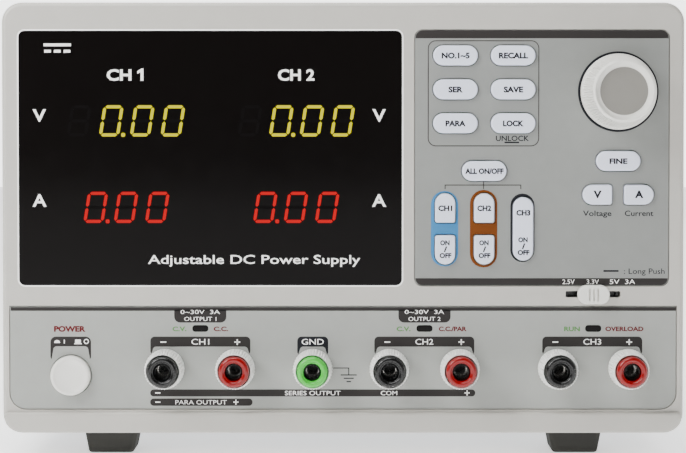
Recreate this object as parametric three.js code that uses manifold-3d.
// Bench power supply with three outputs, two of them adjustable.
// Millimetres. +X is to the right seen from the front, +Y is to the rear, +Z is up.
// Z = 0 is the surface that the four feet stand on, and the outer box is centred on X and Y.
import * as THREE from 'three';
import { mergeVertices } from 'three/addons/utils/BufferGeometryUtils.js';
import Module from 'manifold-3d';

const wasm = await Module();
wasm.setup();

// ---------------------------------------------------------------- driving dimensions
// Case
const BODY_WIDTH = 225;
const BODY_HEIGHT = 142.3;
const BODY_DEPTH = 275;
const CORNER_RADIUS = 6.6;
const FOOT_HEIGHT = 7.5;
const FOOT_TOP_WIDTH = 17.8;
const FOOT_BOTTOM_WIDTH = 15;
const FOOT_LENGTH = 18;
const FOOT_SPREAD = 155;
const FOOT_SETBACK = 24;
const FRONT_FOOT_SETBACK = 8;
const BEZEL_DEPTH = 18;
const BEZEL_WALL = 3;
const BEZEL_EDGE = 1.6;
const CHIN_HEIGHT = 7.2;
const CHIN_REACH = 1.6;
const SHEET = 1;
const COVER_INSET = 1;
const COVER_SKIRT = 14;
const REAR_SHEET = 1.5;
const GAP = 0.3;

// Front panel: inlays, each flush with the bezel in a shallow recess
const INLAY = 0.7;
const SIDE_MARGIN = 5.6;
const TOP_MARGIN = 9.2;
const UPPER_BOTTOM = 49;
const KEYPAD_WIDTH = 83.6;
const KEYPAD_RIGHT_MARGIN = 5.2;
const INLAY_SPACE = 4.2;
const WINDOW_RADIUS = 2;
const WINDOW_THICKNESS = 2;
const WINDOW_LEDGE = 3;
const KEYPAD_RADIUS = 2.5;
const STRIP_MARGIN = 2.6;
const STRIP_BOTTOM = 8.2;
const STRIP_TOP = 42;
const STRIP_RADIUS = 5.3;

// Keys
const KEY_WIDTH = 14.7;
const KEY_HEIGHT = 6.6;
const KEY_REACH = 1.2;
const KEY_DEPTH = 4.2;
const KEY_FLANGE = 0.8;
const KEY_FLANGE_DEPTH = 0.9;
const KEY_EDGE = 0.45;
const KEY_TRAVEL = 0.8;
const KEY_COLUMN_SPACE = 4.3;
const KEY_ROW_SPACE = 4.55;
const KEYPAD_MARGIN = 5.95;
const CHANNEL_KEY_WIDTH = 6.7;
const CHANNEL_KEY_HEIGHT = 9.7;
const CHANNEL_KEY_SPACE = 6.15;
const CHANNEL_ROW_SPACE = 4.1;
const SET_KEY_WIDTH = 9.8;
const SET_KEY_SPACE = 3.9;

// Knob and encoder
const KNOB_RADIUS = 12.5;
const KNOB_FRONT_RADIUS = 10.6;
const KNOB_HEIGHT = 16.5;
const KNOB_DISH_RADIUS = 7.9;
const KNOB_DISH_DEPTH = 1.5;
const SHAFT_RADIUS = 3;
const BUSHING_RADIUS = 4.5;

// Output posts
const POST_HEIGHT = 21.7;
const POST_HALF_PITCH = 11.6;
const NUT_RADIUS = 6.55;
const NUT_LENGTH = 11;
const INSERT_RADIUS = 5;
const INSERT_LENGTH = 13.4;
const STUD_RADIUS = 2.55;
const STUD_BORE_RADIUS = 2.2;
const STUD_BORE_DEPTH = 19;
const BUSH_RADIUS = 4.2;

// Power button, slide switch
const BUTTON_RADIUS = 6.6;
const BUTTON_REACH = 2.6;
const BUTTON_HEIGHT = 19.3;
const BUTTON_FROM_LEFT = 22.6;
const STEM_RADIUS = 2;
const SLIDER_WIDTH = 10.5;
const SLIDER_HEIGHT = 6.3;
const SLIDER_REACH = 3;
const SLIDER_NECK = 7;
const SLIDER_TRAVEL = 4;
const SLOT_WIDTH = 2.1;
const SLIDER_Z = 46.1;

// Rear panel
const FAN_SIZE = 80;
const FAN_DEPTH = 25;
const FAN_RING = 37.5;
const FAN_HUB = 16;
const FAN_SLOT = 3.6;
const FAN_SLOT_PITCH = 7.2;
const SOCKET_WIDTH = 24.2;
const SOCKET_HEIGHT = 16.6;
const SOCKET_DEPTH = 17;
const SOCKET_FLANGE = 2.5;
const DRAWER_WIDTH = 22;
const DRAWER_HEIGHT = 8;
const DRAWER_DEPTH = 15;
const USB_WIDTH = 12;
const USB_HEIGHT = 11;
const USB_DEPTH = 16;

// Inside
const BOARD = 1.6;
const CORE_WIDTH = 84;
const CORE_HEIGHT = 70;
const CORE_STACK = 44;
const CORE_LEG = 14;
const COIL_OVERHANG = 14;
const SINK_WIDTH = 70;
const SINK_HEIGHT = 52;
const SINK_LENGTH = 90;
const SINK_FINS = 8;
const STANDOFF = 8;
const STANDOFF_RADIUS = 3;

// ---------------------------------------------------------------- places worked out from them
const LEFT = -BODY_WIDTH / 2;
const RIGHT = BODY_WIDTH / 2;
const BASE = FOOT_HEIGHT;
const TOP = FOOT_HEIGHT + BODY_HEIGHT;
const MIDDLE = (BASE + TOP) / 2;
const FLOOR = BASE + COVER_INSET + SHEET;
const FAR = 20;

const upperBottom = BASE + UPPER_BOTTOM;
const upperTop = TOP - TOP_MARGIN;
const upperHeight = upperTop - upperBottom;
const upperMiddle = (upperTop + upperBottom) / 2;
const keypadRight = RIGHT - KEYPAD_RIGHT_MARGIN;
const keypadLeft = keypadRight - KEYPAD_WIDTH;
const windowLeft = LEFT + SIDE_MARGIN;
const windowRight = keypadLeft - INLAY_SPACE;
const windowWidth = windowRight - windowLeft;
const windowX = (windowLeft + windowRight) / 2;
const stripWidth = BODY_WIDTH - 2 * STRIP_MARGIN;
const stripHeight = STRIP_TOP - STRIP_BOTTOM;
const stripMiddle = BASE + (STRIP_TOP + STRIP_BOTTOM) / 2;

const knobX = keypadRight - 16.7;
const knobZ = upperTop - 20.2;
const keyColumnPitch = KEY_WIDTH + KEY_COLUMN_SPACE;
const keyRowPitch = KEY_HEIGHT + KEY_ROW_SPACE;
const channelKeyPitch = CHANNEL_KEY_WIDTH + CHANNEL_KEY_SPACE;
const channelRowPitch = CHANNEL_KEY_HEIGHT + CHANNEL_ROW_SPACE;
const setKeyPitch = SET_KEY_WIDTH + SET_KEY_SPACE;
const keyColumnX = keypadLeft + KEYPAD_MARGIN + KEY_WIDTH / 2;
const keyTopZ = upperTop - 8.3;
const allKeyX = keyColumnX + keyColumnPitch / 2;
const channelKeyX = allKeyX - channelKeyPitch;
const channelKeyZ = upperBottom + 11.8;
const allKeyZ = channelKeyZ + channelRowPitch + 12.2;
const fineKeyZ = knobZ - 22.8;
const setKeyZ = fineKeyZ - 11.1;
const sliderX = keypadRight - 24.8;
const sliderZ = BASE + SLIDER_Z;

// The power button keeps its place at the left, the third output at the right,
// and the other posts share the panel between them.
const buttonX = LEFT + BUTTON_FROM_LEFT;
const thirdOutputX = RIGHT - 30.2;
const outputSpan = thirdOutputX - buttonX;
const firstOutputX = buttonX + 0.2485 * outputSpan;
const groundX = buttonX + 0.464 * outputSpan;
const secondOutputX = buttonX + 0.678 * outputSpan;
const postZ = BASE + POST_HEIGHT;
const buttonZ = BASE + BUTTON_HEIGHT;
const posts = [
  { name: 'ch1_minus', x: firstOutputX - POST_HALF_PITCH, colour: 'black' },
  { name: 'ch1_plus', x: firstOutputX + POST_HALF_PITCH, colour: 'red' },
  { name: 'ground', x: groundX, colour: 'green' },
  { name: 'ch2_minus', x: secondOutputX - POST_HALF_PITCH, colour: 'black' },
  { name: 'ch2_plus', x: secondOutputX + POST_HALF_PITCH, colour: 'red' },
  { name: 'ch3_minus', x: thirdOutputX - POST_HALF_PITCH, colour: 'black' },
  { name: 'ch3_plus', x: thirdOutputX + POST_HALF_PITCH, colour: 'red' },
];

// ---------------------------------------------------------------- making solids

// A rounded outline in the X-Z plane; its corner radii go anticlockwise from the top right.
function outline(x, z, width, height, radii, steps = 3) {
  const sides = [[1, 1], [-1, 1], [-1, -1], [1, -1]];
  const points = [];
  sides.forEach(([sideX, sideZ], corner) => {
    const radius = radii[corner];
    const centreX = x + sideX * (width / 2 - radius);
    const centreZ = z + sideZ * (height / 2 - radius);
    const count = radius > 0 ? steps : 0;
    for (let step = 0; step <= count; step += 1) {
      const angle = (corner + (count ? step / count : 0)) * Math.PI / 2;
      points.push(new THREE.Vector2(
        centreX + radius * Math.cos(angle),
        centreZ + radius * Math.sin(angle),
      ));
    }
  });
  return points.filter((point, i) => point.distanceTo(points[(i + 1) % points.length]) > 1e-4);
}

function rounded(x, z, width, height, radius, steps = 3) {
  return outline(x, z, width, height, [radius, radius, radius, radius], steps);
}

function disc(x, z, radius, steps = 4) {
  return rounded(x, z, 2 * radius, 2 * radius, radius, steps);
}

// The geometry as a manifold solid, with shared corners and no slivers of zero area.
function solidOf(geometry) {
  geometry.deleteAttribute('normal');
  geometry.deleteAttribute('uv');
  const merged = mergeVertices(geometry, 1e-4);
  const corners = merged.index.array;
  const triangles = [];
  for (let i = 0; i < corners.length; i += 3) {
    const [a, b, c] = [corners[i], corners[i + 1], corners[i + 2]];
    if (a !== b && b !== c && c !== a) triangles.push(a, b, c);
  }
  const mesh = new wasm.Mesh({
    numProp: 3,
    vertProperties: merged.attributes.position.array,
    triVerts: new Uint32Array(triangles),
  });
  mesh.merge();
  return new wasm.Manifold(mesh);
}

// An outline made solid between two depths, front first.
function plate(points, front, back) {
  const geometry = new THREE.ExtrudeGeometry(new THREE.Shape(points), {
    depth: back - front,
    bevelEnabled: false,
  });
  geometry.rotateX(Math.PI / 2);
  geometry.translate(0, back, 0);
  return solidOf(geometry);
}

// The same with its front and back edges rounded off.
function softPlate(points, front, back, edge, segments = 1) {
  const geometry = new THREE.ExtrudeGeometry(new THREE.Shape(points), {
    depth: back - front - 2 * edge,
    bevelThickness: edge,
    bevelSize: edge,
    bevelOffset: -edge,
    bevelSegments: segments,
  });
  geometry.rotateX(Math.PI / 2);
  geometry.translate(0, back - edge, 0);
  return solidOf(geometry);
}

// A profile of [radius, depth] turned about the Y direction; it runs from front to back.
function turned(profile, x, z, segments = 20) {
  const points = profile.map(([radius, depth]) => new THREE.Vector2(radius, depth));
  const geometry = new THREE.LatheGeometry(points, segments);
  geometry.translate(x, 0, z);
  return solidOf(geometry);
}

function block(left, right, front, back, low, high) {
  const geometry = new THREE.BoxGeometry(right - left, back - front, high - low);
  geometry.translate((left + right) / 2, (front + back) / 2, (low + high) / 2);
  return solidOf(geometry);
}

function pillar(x, y, radius, low, high) {
  const geometry = new THREE.CylinderGeometry(radius, radius, high - low, 12);
  geometry.rotateX(Math.PI / 2);
  geometry.translate(x, y, (low + high) / 2);
  return solidOf(geometry);
}

function join(solids) {
  return solids.reduce((whole, solid) => whole.add(solid));
}

function cut(solid, cutters) {
  return cutters.reduce((left, cutter) => left.subtract(cutter), solid);
}

const supply = new THREE.Group();

// Adds one piece to the supply, moved back so that the outer box is centred on Y.
function addPiece(name, solid, finish) {
  const { vertProperties, triVerts } = solid.getMesh();
  const geometry = new THREE.BufferGeometry();
  geometry.setAttribute('position', new THREE.BufferAttribute(vertProperties, 3));
  geometry.setIndex(new THREE.BufferAttribute(triVerts, 1));
  geometry.computeVertexNormals();
  const mesh = new THREE.Mesh(geometry, new THREE.MeshStandardMaterial(finish));
  mesh.name = name;
  supply.add(mesh);
}

// ---------------------------------------------------------------- finishes
const finishes = {
  silverPlastic: { color: 0xcbc8c3, roughness: 0.45, metalness: 0.1 },
  keypadGrey: { color: 0x95978f, roughness: 0.55, metalness: 0 },
  stripGrey: { color: 0xafb1ac, roughness: 0.55, metalness: 0 },
  window: { color: 0x141313, roughness: 0.08, metalness: 0 },
  keyPlastic: { color: 0xd5dae3, roughness: 0.4, metalness: 0 },
  whitePlastic: { color: 0xe9e8e3, roughness: 0.4, metalness: 0 },
  paintedSteel: { color: 0xe4e4e0, roughness: 0.5, metalness: 0.2 },
  plainSteel: { color: 0xb4b6b8, roughness: 0.35, metalness: 0.9 },
  rubber: { color: 0x3a3a38, roughness: 0.85, metalness: 0 },
  blackPlastic: { color: 0x1c1b1b, roughness: 0.4, metalness: 0 },
  redPlastic: { color: 0xc4060c, roughness: 0.35, metalness: 0 },
  greenPlastic: { color: 0x6cc66a, roughness: 0.35, metalness: 0 },
  circuitBoard: { color: 0x1f5c36, roughness: 0.5, metalness: 0 },
  aluminium: { color: 0xc2c4c6, roughness: 0.4, metalness: 0.9 },
  laminations: { color: 0x4c4a48, roughness: 0.6, metalness: 0.7 },
  winding: { color: 0xc9992f, roughness: 0.5, metalness: 0.1 },
  nickel: { color: 0xd2d0cb, roughness: 0.25, metalness: 1 },
};
const insertFinish = {
  black: finishes.blackPlastic,
  red: finishes.redPlastic,
  green: finishes.greenPlastic,
};

// ---------------------------------------------------------------- keys
// Each key is a cap that fills its hole, with a flange behind the panel that keeps it in.
const roundEnds = (height) => [height / 2, height / 2, height / 2, height / 2];
const half = KEY_HEIGHT / 2;
const pairRound = CHANNEL_KEY_WIDTH / 2;
const keys = [];
['preset', 'recall', 'series', 'save', 'parallel', 'lock'].forEach((name, index) => {
  const column = index % 2;
  const row = Math.floor(index / 2);
  keys.push({
    name: `key_${name}`,
    x: keyColumnX + column * keyColumnPitch,
    z: keyTopZ - row * keyRowPitch,
    width: KEY_WIDTH,
    height: KEY_HEIGHT,
    radii: roundEnds(KEY_HEIGHT),
  });
});
keys.push({
  name: 'key_all_on_off',
  x: allKeyX,
  z: allKeyZ,
  width: KEY_WIDTH,
  height: KEY_HEIGHT,
  radii: roundEnds(KEY_HEIGHT),
});
['ch1', 'ch2'].forEach((channel, index) => {
  const x = channelKeyX + index * channelKeyPitch;
  keys.push({
    name: `key_${channel}`,
    x,
    z: channelKeyZ + channelRowPitch,
    width: CHANNEL_KEY_WIDTH,
    height: CHANNEL_KEY_HEIGHT,
    radii: [pairRound, pairRound, 0.8, 0.8],
  });
  keys.push({
    name: `key_${channel}_on_off`,
    x,
    z: channelKeyZ,
    width: CHANNEL_KEY_WIDTH,
    height: CHANNEL_KEY_HEIGHT,
    radii: [0.8, 0.8, pairRound, pairRound],
  });
});
keys.push({
  name: 'key_ch3_on_off',
  x: channelKeyX + 2 * channelKeyPitch,
  z: channelKeyZ + channelRowPitch / 2,
  width: CHANNEL_KEY_WIDTH,
  height: channelRowPitch + CHANNEL_KEY_HEIGHT - 2.6,
  radii: roundEnds(CHANNEL_KEY_WIDTH),
});
keys.push({
  name: 'key_fine',
  x: knobX,
  z: fineKeyZ,
  width: KEY_WIDTH,
  height: KEY_HEIGHT,
  radii: roundEnds(KEY_HEIGHT),
});
keys.push({
  name: 'key_voltage',
  x: knobX - setKeyPitch / 2,
  z: setKeyZ,
  width: SET_KEY_WIDTH,
  height: KEY_HEIGHT,
  radii: [1, half, half, 1],
});
keys.push({
  name: 'key_current',
  x: knobX + setKeyPitch / 2,
  z: setKeyZ,
  width: SET_KEY_WIDTH,
  height: KEY_HEIGHT,
  radii: [half, 1, 1, half],
});

// The key's outline made larger all round by a margin.
function keyOutline(key, margin) {
  const radii = key.radii.map((radius) => radius + margin);
  return outline(key.x, key.z, key.width + 2 * margin, key.height + 2 * margin, radii);
}

function keyHole(key) {
  return plate(keyOutline(key, GAP), -1, BEZEL_WALL + 1);
}

for (const key of keys) {
  const flangeFront = BEZEL_WALL + GAP;
  const cap = softPlate(keyOutline(key, 0), -KEY_REACH, KEY_DEPTH, KEY_EDGE);
  const flangeBack = flangeFront + KEY_FLANGE_DEPTH;
  const flange = plate(keyOutline(key, KEY_FLANGE), flangeFront, flangeBack);
  addPiece(key.name, cap.add(flange), finishes.keyPlastic);
}

// ---------------------------------------------------------------- front panel inlays
const recessFloor = INLAY + GAP;
const knobHole = plate(disc(knobX, knobZ, KNOB_RADIUS + 0.5, 8), -1, recessFloor);
const bushingHole = plate(disc(knobX, knobZ, BUSHING_RADIUS + GAP, 4), -1, BEZEL_WALL + 1);
const keyHoles = keys.map(keyHole);
const keypadOutline = (margin) => rounded(
  (keypadLeft + keypadRight) / 2,
  upperMiddle,
  KEYPAD_WIDTH + 2 * margin,
  upperHeight + 2 * margin,
  KEYPAD_RADIUS,
);
addPiece(
  'keypad_overlay',
  cut(plate(keypadOutline(0), 0, INLAY), [knobHole, ...keyHoles]),
  finishes.keypadGrey,
);

const windowOutline = (margin) => rounded(
  windowX,
  upperMiddle,
  windowWidth + 2 * margin,
  upperHeight + 2 * margin,
  WINDOW_RADIUS,
);
addPiece('display_window', plate(windowOutline(0), 0, WINDOW_THICKNESS), finishes.window);

// The strip round the sockets, square at its top corners and round at the bottom.
const stripOutline = (margin) => outline(
  0,
  stripMiddle,
  stripWidth + 2 * margin,
  stripHeight + 2 * margin,
  [0, 0, STRIP_RADIUS, STRIP_RADIUS],
  5,
);
const sliderSlot = plate(
  rounded(sliderX, sliderZ, SLIDER_WIDTH + 2 * SLIDER_TRAVEL - 0.4, SLOT_WIDTH, 0.4),
  -1,
  BEZEL_WALL + 1,
);
const postHoles = posts.map((post) => (
  plate(disc(post.x, postZ, BUSH_RADIUS + GAP, 3), -1, BEZEL_WALL + 1)
));
const buttonHole = plate(disc(buttonX, buttonZ, BUTTON_RADIUS + GAP), -1, BEZEL_WALL + 1);
addPiece(
  'output_overlay',
  cut(plate(stripOutline(0), 0, INLAY), [buttonHole, ...postHoles]),
  finishes.stripGrey,
);

// ---------------------------------------------------------------- front bezel
const bodyOutline = (inset) => rounded(
  0,
  MIDDLE,
  BODY_WIDTH - 2 * inset,
  BODY_HEIGHT - 2 * inset,
  CORNER_RADIUS - inset,
  5,
);
// Boards hang on bosses that stand out behind the front wall.
const boardFront = 7.2;
const bossRadius = 2.3;
const bossInset = 6;
const boardInset = BEZEL_WALL + 0.5;
const displayBoard = { low: upperBottom + 3, high: upperTop - 2 };
const terminalBoard = { low: BASE + 8, high: BASE + 38 };
function bosses(board) {
  const places = [
    [LEFT + bossInset, board.low + 3],
    [RIGHT - bossInset, board.low + 3],
    [LEFT + bossInset, board.high - 3],
    [RIGHT - bossInset, board.high - 3],
  ];
  const root = BEZEL_WALL - GAP;
  return places.map(([x, z]) => plate(disc(x, z, bossRadius, 3), root, boardFront - GAP));
}
function frontBoard(board) {
  const low = board.low;
  return block(LEFT + boardInset, RIGHT - boardInset, boardFront, boardFront + BOARD, low, board.high);
}
const bezelShell = softPlate(bodyOutline(0), 0, BEZEL_DEPTH + FAR, BEZEL_EDGE, 2)
  .subtract(block(-BODY_WIDTH, BODY_WIDTH, BEZEL_DEPTH, 2 * FAR, 0, 2 * TOP))
  .subtract(plate(bodyOutline(BEZEL_WALL), BEZEL_WALL, BEZEL_DEPTH + 1));
const chinMiddle = BASE + CHIN_HEIGHT / 2;
const chin = softPlate(
  outline(0, chinMiddle, BODY_WIDTH - 2, CHIN_HEIGHT, [1.6, 1.6, 3.5, 3.5]),
  -CHIN_REACH,
  2,
  1,
);
const windowOpening = plate(
  rounded(
    windowX,
    upperMiddle,
    windowWidth - 2 * WINDOW_LEDGE,
    upperHeight - 2 * WINDOW_LEDGE,
    1,
    2,
  ),
  -1,
  BEZEL_WALL + 1,
);
addPiece(
  'front_bezel',
  cut(bezelShell.add(chin), [
    plate(keypadOutline(GAP), -1, recessFloor),
    plate(windowOutline(GAP), -1, WINDOW_THICKNESS + GAP),
    plate(stripOutline(GAP), -1, recessFloor),
    windowOpening,
    sliderSlot,
    bushingHole,
    buttonHole,
    ...postHoles,
    ...keyHoles,
  ]).add(join([...bosses(displayBoard), ...bosses(terminalBoard)])),
  finishes.silverPlastic,
);

// ---------------------------------------------------------------- knob and encoder
const bushingFront = -2;
const knobBack = -0.4;
const knobFront = knobBack - KNOB_HEIGHT;
const shaftBack = boardFront - 2.6;
const knobProfile = [
  [0, knobFront + KNOB_DISH_DEPTH],
  [KNOB_DISH_RADIUS * 0.6, knobFront + KNOB_DISH_DEPTH * 0.8],
  [KNOB_DISH_RADIUS, knobFront + 0.2],
  [KNOB_DISH_RADIUS + 1, knobFront],
  [KNOB_FRONT_RADIUS - 1.5, knobFront],
  [KNOB_FRONT_RADIUS - 0.4, knobFront + 0.5],
  [KNOB_FRONT_RADIUS, knobFront + 1.6],
  [KNOB_RADIUS, knobBack],
  [KNOB_RADIUS - 1.6, knobBack],
  [KNOB_RADIUS - 2, knobBack - 5],
  [SHAFT_RADIUS + 3, knobBack - 5],
  [SHAFT_RADIUS, knobBack - 5],
  [SHAFT_RADIUS, shaftBack],
  [0, shaftBack],
];
addPiece('control_knob', turned(knobProfile, knobX, knobZ, 28), finishes.whitePlastic);

const encoderHalf = 6.2;
const encoderFront = BEZEL_WALL + GAP;
const encoderBack = boardFront - GAP;
addPiece(
  'encoder_body',
  block(
    knobX - encoderHalf,
    knobX + encoderHalf,
    encoderFront,
    encoderBack,
    knobZ - encoderHalf,
    knobZ + encoderHalf,
  )
    .add(plate(disc(knobX, knobZ, BUSHING_RADIUS, 4), bushingFront, encoderBack))
    .subtract(plate(disc(knobX, knobZ, SHAFT_RADIUS + GAP, 6), bushingFront - 1, shaftBack + GAP)),
  finishes.plainSteel,
);

// ---------------------------------------------------------------- power button and its switch
const buttonBack = BEZEL_WALL + 2;
const stemBack = boardFront + BOARD + 8;
const buttonProfile = [
  [0, -BUTTON_REACH + 0.5],
  [BUTTON_RADIUS * 0.55, -BUTTON_REACH + 0.25],
  [BUTTON_RADIUS - 1.2, -BUTTON_REACH],
  [BUTTON_RADIUS - 0.4, -BUTTON_REACH + 0.25],
  [BUTTON_RADIUS, -BUTTON_REACH + 0.9],
  [BUTTON_RADIUS, buttonBack],
  [STEM_RADIUS, buttonBack],
  [STEM_RADIUS, stemBack],
  [0, stemBack],
];
addPiece('power_button', turned(buttonProfile, buttonX, buttonZ), finishes.whitePlastic);

const switchFront = boardFront + BOARD + GAP;
const switchHalf = 7;
addPiece(
  'power_switch_body',
  block(
    buttonX - switchHalf,
    buttonX + switchHalf,
    switchFront,
    switchFront + 20,
    buttonZ - switchHalf,
    buttonZ + switchHalf,
  ).subtract(
    plate(disc(buttonX, buttonZ, STEM_RADIUS + GAP, 4), switchFront - 1, stemBack + GAP),
  ),
  finishes.blackPlastic,
);

// ---------------------------------------------------------------- slide switch of the third output
const switchBodyWidth = SLIDER_WIDTH + 2 * SLIDER_TRAVEL + 6;
const neckHeight = SLOT_WIDTH - 2 * GAP;
const sliderCap = softPlate(
  rounded(sliderX, sliderZ, SLIDER_WIDTH, SLIDER_HEIGHT, SLIDER_HEIGHT / 2, 5),
  -SLIDER_REACH,
  -GAP,
  0.6,
);
const sliderNeck = plate(
  rounded(sliderX, sliderZ, SLIDER_NECK, neckHeight, 0.2, 1),
  -1,
  BEZEL_WALL + 2,
);
const grips = [-1.4, 0, 1.4].map((offset) => block(
  sliderX + offset - 0.3,
  sliderX + offset + 0.3,
  -SLIDER_REACH - 1,
  -SLIDER_REACH + 0.8,
  sliderZ - 1.9,
  sliderZ + 1.9,
));
addPiece('slide_switch_knob', cut(sliderCap.add(sliderNeck), grips), finishes.whitePlastic);

const slideBodyFront = BEZEL_WALL + GAP;
const slideTrough = block(
  sliderX - SLIDER_NECK / 2 - SLIDER_TRAVEL - GAP,
  sliderX + SLIDER_NECK / 2 + SLIDER_TRAVEL + GAP,
  0,
  BEZEL_WALL + 2 + GAP,
  sliderZ - neckHeight / 2 - GAP,
  sliderZ + neckHeight / 2 + GAP,
);
addPiece(
  'slide_switch_body',
  block(
    sliderX - switchBodyWidth / 2,
    sliderX + switchBodyWidth / 2,
    slideBodyFront,
    slideBodyFront + 6,
    sliderZ - 3,
    sliderZ + 3,
  ).subtract(slideTrough),
  finishes.blackPlastic,
);

// ---------------------------------------------------------------- boards behind the panel
addPiece('display_board', frontBoard(displayBoard), finishes.circuitBoard);
const moduleInset = WINDOW_LEDGE + 1;
addPiece(
  'led_display',
  block(
    windowLeft + moduleInset,
    windowRight - moduleInset,
    WINDOW_THICKNESS + GAP,
    boardFront - GAP,
    upperBottom + moduleInset,
    upperTop - moduleInset,
  ),
  finishes.blackPlastic,
);

// ---------------------------------------------------------------- output posts
// A stud on a moulded bush goes through the panel; the coloured insert and the knurled
// nut round it screw outwards together.
const studFront = -INSERT_LENGTH + 1.4;
const bushFront = 0;
function stud(post) {
  const bush = plate(disc(post.x, postZ, BUSH_RADIUS, 3), bushFront, boardFront + BOARD);
  const pin = plate(disc(post.x, postZ, STUD_RADIUS, 3), studFront, boardFront + BOARD + 10);
  const bore = disc(post.x, postZ, STUD_BORE_RADIUS, 3);
  return bush.add(pin).subtract(plate(bore, studFront - 1, studFront + STUD_BORE_DEPTH));
}
const terminalPlate = cut(frontBoard(terminalBoard), [
  plate(disc(buttonX, buttonZ, STEM_RADIUS + 1, 4), 0, FAR),
]);
addPiece('terminal_board', join([terminalPlate, ...posts.map(stud)]), finishes.nickel);

for (const post of posts) {
  const insertBack = -GAP;
  const insertFront = -INSERT_LENGTH - GAP;
  const insertBore = STUD_RADIUS + GAP;
  const insertProfile = [
    [insertBore, insertFront + 0.6],
    [insertBore + 0.5, insertFront],
    [INSERT_RADIUS - 0.7, insertFront],
    [INSERT_RADIUS, insertFront + 0.7],
    [INSERT_RADIUS, insertBack],
    [insertBore, insertBack],
    [insertBore, insertFront + 0.6],
  ];
  const insert = turned(insertProfile, post.x, postZ, 16);
  addPiece(`insert_${post.name}`, insert, insertFinish[post.colour]);

  const nutBore = INSERT_RADIUS + GAP;
  const nutFront = -NUT_LENGTH - GAP;
  const nutProfile = [
    [nutBore, nutFront],
    [NUT_RADIUS - 0.5, nutFront],
    [NUT_RADIUS, nutFront + 0.5],
    [NUT_RADIUS, insertBack],
    [nutBore, insertBack],
    [nutBore, nutFront],
  ];
  addPiece(`nut_${post.name}`, turned(nutProfile, post.x, postZ, 20), finishes.whitePlastic);
}

// ---------------------------------------------------------------- chassis, cover and rear panel
const shellFront = BEZEL_DEPTH + GAP;
const rearFront = BODY_DEPTH - REAR_SHEET;
const shellBack = rearFront - GAP;
const seam = BASE + COVER_SKIRT;
const shell = plate(bodyOutline(COVER_INSET), shellFront, shellBack)
  .subtract(plate(bodyOutline(COVER_INSET + SHEET), shellFront - 1, shellBack + 1));
const everything = (low, high) => block(-BODY_WIDTH, BODY_WIDTH, -FAR, BODY_DEPTH + FAR, low, high);

const standoffTop = FLOOR + STANDOFF;
const mainBoard = {
  left: 4,
  right: RIGHT - 8,
  front: 62,
  back: BODY_DEPTH - 4,
};
const standoffInset = 6;
const standoffs = [
  [mainBoard.left + standoffInset, mainBoard.front + standoffInset],
  [mainBoard.right - standoffInset, mainBoard.front + standoffInset],
  [mainBoard.left + standoffInset, mainBoard.back - standoffInset],
  [mainBoard.right - standoffInset, mainBoard.back - standoffInset],
].map(([x, y]) => pillar(x, y, STANDOFF_RADIUS, FLOOR - SHEET / 2, standoffTop - GAP));
const upstandOuter = RIGHT - COVER_INSET - SHEET - GAP;
const upstands = [-1, 1].map((side) => block(
  Math.min(side * upstandOuter, side * (upstandOuter - SHEET)),
  Math.max(side * upstandOuter, side * (upstandOuter - SHEET)),
  shellFront,
  shellBack,
  FLOOR,
  seam + 12,
));
addPiece(
  'base_chassis',
  join([shell.intersect(everything(0, seam)), ...upstands, ...standoffs]),
  finishes.plainSteel,
);

// Both sides of the cover have upright slots near the back that let air in.
const ventCount = 12;
const ventPitch = 6;
const ventWidth = 2.4;
const ventHeight = 34;
const ventBack = shellBack - 40;
const vents = Array.from({ length: ventCount }, (_, index) => {
  const back = ventBack - index * ventPitch;
  return block(-BODY_WIDTH, BODY_WIDTH, back - ventWidth, back, MIDDLE - 4, MIDDLE - 4 + ventHeight);
});
addPiece(
  'top_cover',
  cut(shell.intersect(everything(seam + GAP, TOP + FAR)), vents),
  finishes.paintedSteel,
);

const rear = BODY_DEPTH;
const rearReach = rear + GAP + SOCKET_FLANGE;
const fanX = LEFT + 8 + FAN_SIZE / 2 + 14;
const fanZ = TOP - 10 - FAN_SIZE / 2 - 8;
const socketX = RIGHT - 42;
const socketZ = BASE + 54;
const drawerZ = socketZ - SOCKET_HEIGHT / 2 - DRAWER_HEIGHT / 2 - 3.5;
const housing = {
  left: socketX - SOCKET_WIDTH / 2 - 1.8,
  right: socketX + SOCKET_WIDTH / 2 + 1.8,
  low: drawerZ - DRAWER_HEIGHT / 2 - 2,
  high: socketZ + SOCKET_HEIGHT / 2 + 1.8,
};
const housingFront = rearReach - SOCKET_DEPTH - 6;
const selectorX = socketX;
const selectorZ = TOP - 36;
const SELECTOR_WIDTH = 23;
const SELECTOR_HEIGHT = 10;
const SELECTOR_SLIDER = 8;
const SELECTOR_TRAVEL = 6;
const usbX = mainBoard.left + 24;
const usbLow = standoffTop + BOARD + GAP;
const usbMiddle = usbLow + USB_HEIGHT / 2;

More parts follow.
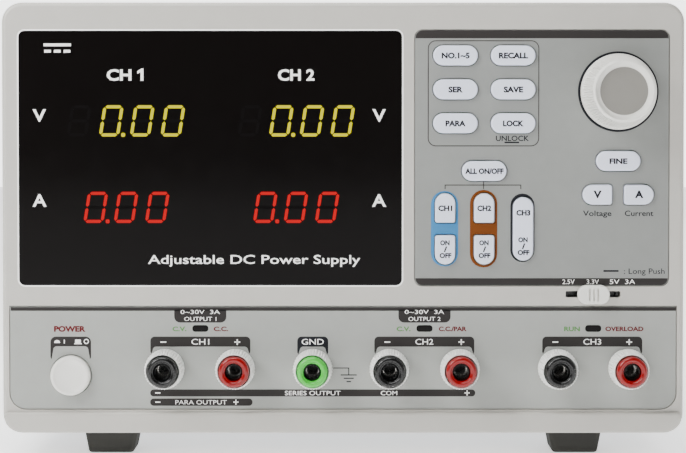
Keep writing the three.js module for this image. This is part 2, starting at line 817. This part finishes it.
const fanSlots = [];
const slotRows = Math.floor(FAN_RING / FAN_SLOT_PITCH);
for (let row = -slotRows; row <= slotRows; row += 1) {
  const height = row * FAN_SLOT_PITCH;
  const width = 2 * Math.sqrt((FAN_RING - 1) ** 2 - height ** 2);
  const slot = rounded(fanX, fanZ + height, width, FAN_SLOT, FAN_SLOT / 2, 2);
  fanSlots.push(plate(slot, rearFront - 1, rear + 1));
}
const throughRear = (left, right, low, high) => (
  block(left - GAP, right + GAP, rearFront - 1, rear + 1, low - GAP, high + GAP)
);
addPiece(
  'rear_panel',
  cut(plate(bodyOutline(COVER_INSET), rearFront, rear), [
    ...fanSlots,
    throughRear(housing.left, housing.right, housing.low, housing.high),
    throughRear(usbX - USB_WIDTH / 2, usbX + USB_WIDTH / 2, usbLow, usbLow + USB_HEIGHT),
    throughRear(
      selectorX - SELECTOR_WIDTH / 2,
      selectorX + SELECTOR_WIDTH / 2,
      selectorZ - SELECTOR_HEIGHT / 2,
      selectorZ + SELECTOR_HEIGHT / 2,
    ),
  ]),
  finishes.paintedSteel,
);

// ---------------------------------------------------------------- feet
const footTaper = (FOOT_TOP_WIDTH - FOOT_BOTTOM_WIDTH) / 2;
// The front feet hang under the bezel, whose underside is lower than the tray's.
function foot(x, { front, top: footTop }) {
  const shape = new THREE.Shape([
    new THREE.Vector2(x - FOOT_TOP_WIDTH / 2, footTop),
    new THREE.Vector2(x - FOOT_TOP_WIDTH / 2 + footTaper, 0),
    new THREE.Vector2(x + FOOT_TOP_WIDTH / 2 - footTaper, 0),
    new THREE.Vector2(x + FOOT_TOP_WIDTH / 2, footTop),
  ].reverse());
  const geometry = new THREE.ExtrudeGeometry(shape, { depth: FOOT_LENGTH, bevelEnabled: false });
  geometry.rotateX(Math.PI / 2);
  geometry.translate(0, front + FOOT_LENGTH, 0);
  return solidOf(geometry);
}
const footX = { left: -FOOT_SPREAD / 2, right: FOOT_SPREAD / 2 };
const feet = {
  front: { front: FRONT_FOOT_SETBACK, top: BASE - GAP },
  rear: { front: BODY_DEPTH - FOOT_SETBACK - FOOT_LENGTH, top: BASE + COVER_INSET - GAP },
};
for (const [sideName, x] of Object.entries(footX)) {
  for (const [endName, place] of Object.entries(feet)) {
    addPiece(`foot_${endName}_${sideName}`, foot(x, place), finishes.rubber);
  }
}

// ---------------------------------------------------------------- mains inlet and fuse drawer
const flangeRim = 3.2;
const inletSolid = block(
  housing.left,
  housing.right,
  housingFront,
  rearReach,
  housing.low,
  housing.high,
).add(block(
  housing.left - flangeRim,
  housing.right + flangeRim,
  rear + GAP,
  rearReach,
  housing.low - flangeRim,
  housing.high + flangeRim,
));
const recessBack = rearReach - SOCKET_DEPTH;
const recess = plate(
  outline(socketX, socketZ, SOCKET_WIDTH, SOCKET_HEIGHT, [1, 1, 5, 5], 1),
  recessBack,
  rearReach + 1,
);
const pins = [[-7, -2], [0, 2], [7, -2]].map(([x, z]) => block(
  socketX + x - 1,
  socketX + x + 1,
  recessBack - 1,
  rearReach - 5.5,
  socketZ + z - 2,
  socketZ + z + 2,
));
const drawerWell = block(
  socketX - DRAWER_WIDTH / 2 - GAP,
  socketX + DRAWER_WIDTH / 2 + GAP,
  rearReach - DRAWER_DEPTH - GAP,
  rearReach + 1,
  drawerZ - DRAWER_HEIGHT / 2 - GAP,
  drawerZ + DRAWER_HEIGHT / 2 + GAP,
);
addPiece(
  'mains_inlet',
  join([cut(inletSolid, [recess, drawerWell]), ...pins]),
  finishes.blackPlastic,
);
addPiece(
  'fuse_drawer',
  cut(
    block(
      socketX - DRAWER_WIDTH / 2,
      socketX + DRAWER_WIDTH / 2,
      rearReach - DRAWER_DEPTH,
      rearReach,
      drawerZ - DRAWER_HEIGHT / 2,
      drawerZ + DRAWER_HEIGHT / 2,
    ),
    [
      block(
        socketX - DRAWER_WIDTH / 2 + 1.2,
        socketX + DRAWER_WIDTH / 2 - 1.2,
        rearReach - DRAWER_DEPTH + 1.5,
        rearReach - 3,
        drawerZ - DRAWER_HEIGHT / 2 + 1.2,
        TOP,
      ),
      block(socketX - 4, socketX + 4, rearReach - 1.2, rearReach + 1, drawerZ + 2.4, TOP),
    ],
  ),
  finishes.blackPlastic,
);

// ---------------------------------------------------------------- data socket and mains selector
const usbBack = rear + 0.5;
addPiece(
  'usb_socket',
  block(
    usbX - USB_WIDTH / 2,
    usbX + USB_WIDTH / 2,
    usbBack - USB_DEPTH,
    usbBack,
    usbLow,
    usbLow + USB_HEIGHT,
  )
    .subtract(block(usbX - 4.3, usbX + 4.3, usbBack - 12, usbBack + 1, usbMiddle - 4, usbMiddle + 4))
    .add(block(usbX - 2.8, usbX + 2.8, usbBack - 13, usbBack - 5, usbMiddle - 1.6, usbMiddle + 1.6)),
  finishes.plainSteel,
);

const selectorBack = rear + 0.5;
const selectorFlange = 3;
const sliderBack = rear - 0.6;
const sliderFront = sliderBack - 4;
addPiece(
  'voltage_selector_body',
  block(
    selectorX - SELECTOR_WIDTH / 2,
    selectorX + SELECTOR_WIDTH / 2,
    rear - 12,
    selectorBack,
    selectorZ - SELECTOR_HEIGHT / 2,
    selectorZ + SELECTOR_HEIGHT / 2,
  )
    .add(block(
      selectorX - SELECTOR_WIDTH / 2 - selectorFlange,
      selectorX + SELECTOR_WIDTH / 2 + selectorFlange,
      rearFront - GAP - 1.5,
      rearFront - GAP,
      selectorZ - SELECTOR_HEIGHT / 2 - selectorFlange,
      selectorZ + SELECTOR_HEIGHT / 2 + selectorFlange,
    ))
    .subtract(block(
      selectorX - SELECTOR_SLIDER / 2 - SELECTOR_TRAVEL / 2 - GAP,
      selectorX + SELECTOR_SLIDER / 2 + SELECTOR_TRAVEL / 2 + GAP,
      sliderFront - GAP,
      selectorBack + 1,
      selectorZ - 3 - GAP,
      selectorZ + 3 + GAP,
    )),
  finishes.blackPlastic,
);
const selectorRest = selectorX - SELECTOR_TRAVEL / 2;
addPiece(
  'voltage_selector_slider',
  cut(
    block(
      selectorRest - SELECTOR_SLIDER / 2,
      selectorRest + SELECTOR_SLIDER / 2,
      sliderFront,
      sliderBack,
      selectorZ - 3,
      selectorZ + 3,
    ),
    [block(selectorRest - 0.6, selectorRest + 0.6, sliderBack - 1.4, rear, selectorZ - 4, selectorZ + 4)],
  ),
  finishes.redPlastic,
);

// ---------------------------------------------------------------- fan
const fanBack = rearFront - GAP;
const fanFront = fanBack - FAN_DEPTH;
const fanBore = FAN_SIZE / 2 - 1.7;
const hubPlate = 4;
const fanPin = 1.6;
const spokes = [0, 1, 2].map((index) => {
  const geometry = new THREE.BoxGeometry(fanBore + 0.6, hubPlate - 1, 4);
  geometry.translate((fanBore + 0.6) / 2, 0, 0);
  geometry.rotateY((index * 120 + 30) * Math.PI / 180);
  geometry.translate(fanX, fanFront + (hubPlate - 1) / 2, fanZ);
  return solidOf(geometry);
});
addPiece(
  'fan_frame',
  join([
    plate(rounded(fanX, fanZ, FAN_SIZE, FAN_SIZE, 4, 2), fanFront, fanBack)
      .subtract(plate(disc(fanX, fanZ, fanBore, 8), fanFront - 1, fanBack + 1)),
    ...spokes,
    plate(disc(fanX, fanZ, FAN_HUB, 5), fanFront, fanFront + hubPlate),
    plate(disc(fanX, fanZ, fanPin, 3), fanFront, fanBack - 6),
  ]),
  finishes.blackPlastic,
);
const bladeCount = 7;
const bladeTip = fanBore - 1.2;
const bladeRoot = FAN_HUB - 2;
const bladeChord = 20;
const bladePitch = 42 * Math.PI / 180;
const rotorFront = fanFront + hubPlate + GAP;
const rotorBack = fanBack - 1.5;
const blades = Array.from({ length: bladeCount }, (_, index) => {
  const geometry = new THREE.BoxGeometry(bladeTip - bladeRoot, 1.3, bladeChord);
  geometry.rotateX(bladePitch);
  geometry.translate((bladeTip + bladeRoot) / 2, 0, 0);
  geometry.rotateY(index * 2 * Math.PI / bladeCount);
  geometry.translate(fanX, (rotorFront + rotorBack) / 2, fanZ);
  return solidOf(geometry);
});
const rotorHub = turned(
  [
    [fanPin + GAP, rotorFront],
    [FAN_HUB, rotorFront],
    [FAN_HUB, rotorBack - 1],
    [FAN_HUB - 1, rotorBack],
    [0, rotorBack],
    [0, fanBack - 6 + GAP],
    [fanPin + GAP, fanBack - 6 + GAP],
    [fanPin + GAP, rotorFront],
  ],
  fanX,
  fanZ,
);
addPiece('fan_impeller', join([rotorHub, ...blades]), finishes.blackPlastic);

// ---------------------------------------------------------------- transformer, board and heat sink
const coreX = LEFT + 14 + CORE_WIDTH / 2;
const coreY = 112;
const coreLow = FLOOR + GAP;
const coreZ = coreLow + CORE_HEIGHT / 2;
const coreWindow = (CORE_WIDTH - 4 * CORE_LEG) / 2;
const coilHeight = CORE_HEIGHT - 2 * CORE_LEG;
const windowOffset = CORE_LEG + coreWindow / 2;
const coreWindows = [-windowOffset, windowOffset].map((offset) => block(
  coreX + offset - coreWindow / 2,
  coreX + offset + coreWindow / 2,
  0,
  BODY_DEPTH,
  coreZ - coilHeight / 2,
  coreZ + coilHeight / 2,
));
addPiece(
  'transformer_core',
  cut(
    block(
      coreX - CORE_WIDTH / 2,
      coreX + CORE_WIDTH / 2,
      coreY - CORE_STACK / 2,
      coreY + CORE_STACK / 2,
      coreLow,
      coreLow + CORE_HEIGHT,
    ),
    coreWindows,
  ),
  finishes.laminations,
);
const coilHalfWidth = CORE_LEG + coreWindow - GAP;
const coilHalfDepth = CORE_STACK / 2 + COIL_OVERHANG;
const coilLow = coreZ - coilHeight / 2 + GAP;
const coilHigh = coreZ + coilHeight / 2 - GAP;
addPiece(
  'transformer_coil',
  block(
    coreX - coilHalfWidth,
    coreX + coilHalfWidth,
    coreY - coilHalfDepth,
    coreY + coilHalfDepth,
    coilLow,
    coilHigh,
  ).subtract(block(
    coreX - CORE_LEG - GAP,
    coreX + CORE_LEG + GAP,
    coreY - CORE_STACK / 2 - GAP,
    coreY + CORE_STACK / 2 + GAP,
    0,
    TOP,
  )),
  finishes.winding,
);

addPiece(
  'main_board',
  block(
    mainBoard.left,
    mainBoard.right,
    mainBoard.front,
    mainBoard.back,
    standoffTop,
    standoffTop + BOARD,
  ),
  finishes.circuitBoard,
);
const sinkLeft = mainBoard.right - 12 - SINK_WIDTH;
const sinkFront = mainBoard.front + 46;
const sinkLow = standoffTop + BOARD + GAP;
const sinkPitch = (SINK_WIDTH - 2) / (SINK_FINS - 1);
const sinkBase = block(
  sinkLeft,
  sinkLeft + SINK_WIDTH,
  sinkFront,
  sinkFront + SINK_LENGTH,
  sinkLow,
  sinkLow + 5,
);
const fins = Array.from({ length: SINK_FINS }, (_, index) => block(
  sinkLeft + index * sinkPitch,
  sinkLeft + index * sinkPitch + 2,
  sinkFront,
  sinkFront + SINK_LENGTH,
  sinkLow,
  sinkLow + SINK_HEIGHT,
));
addPiece('heatsink', join([sinkBase, ...fins]), finishes.aluminium);

// ---------------------------------------------------------------- centred on the outer box
supply.position.y = (-knobFront - rearReach) / 2;

export default supply;
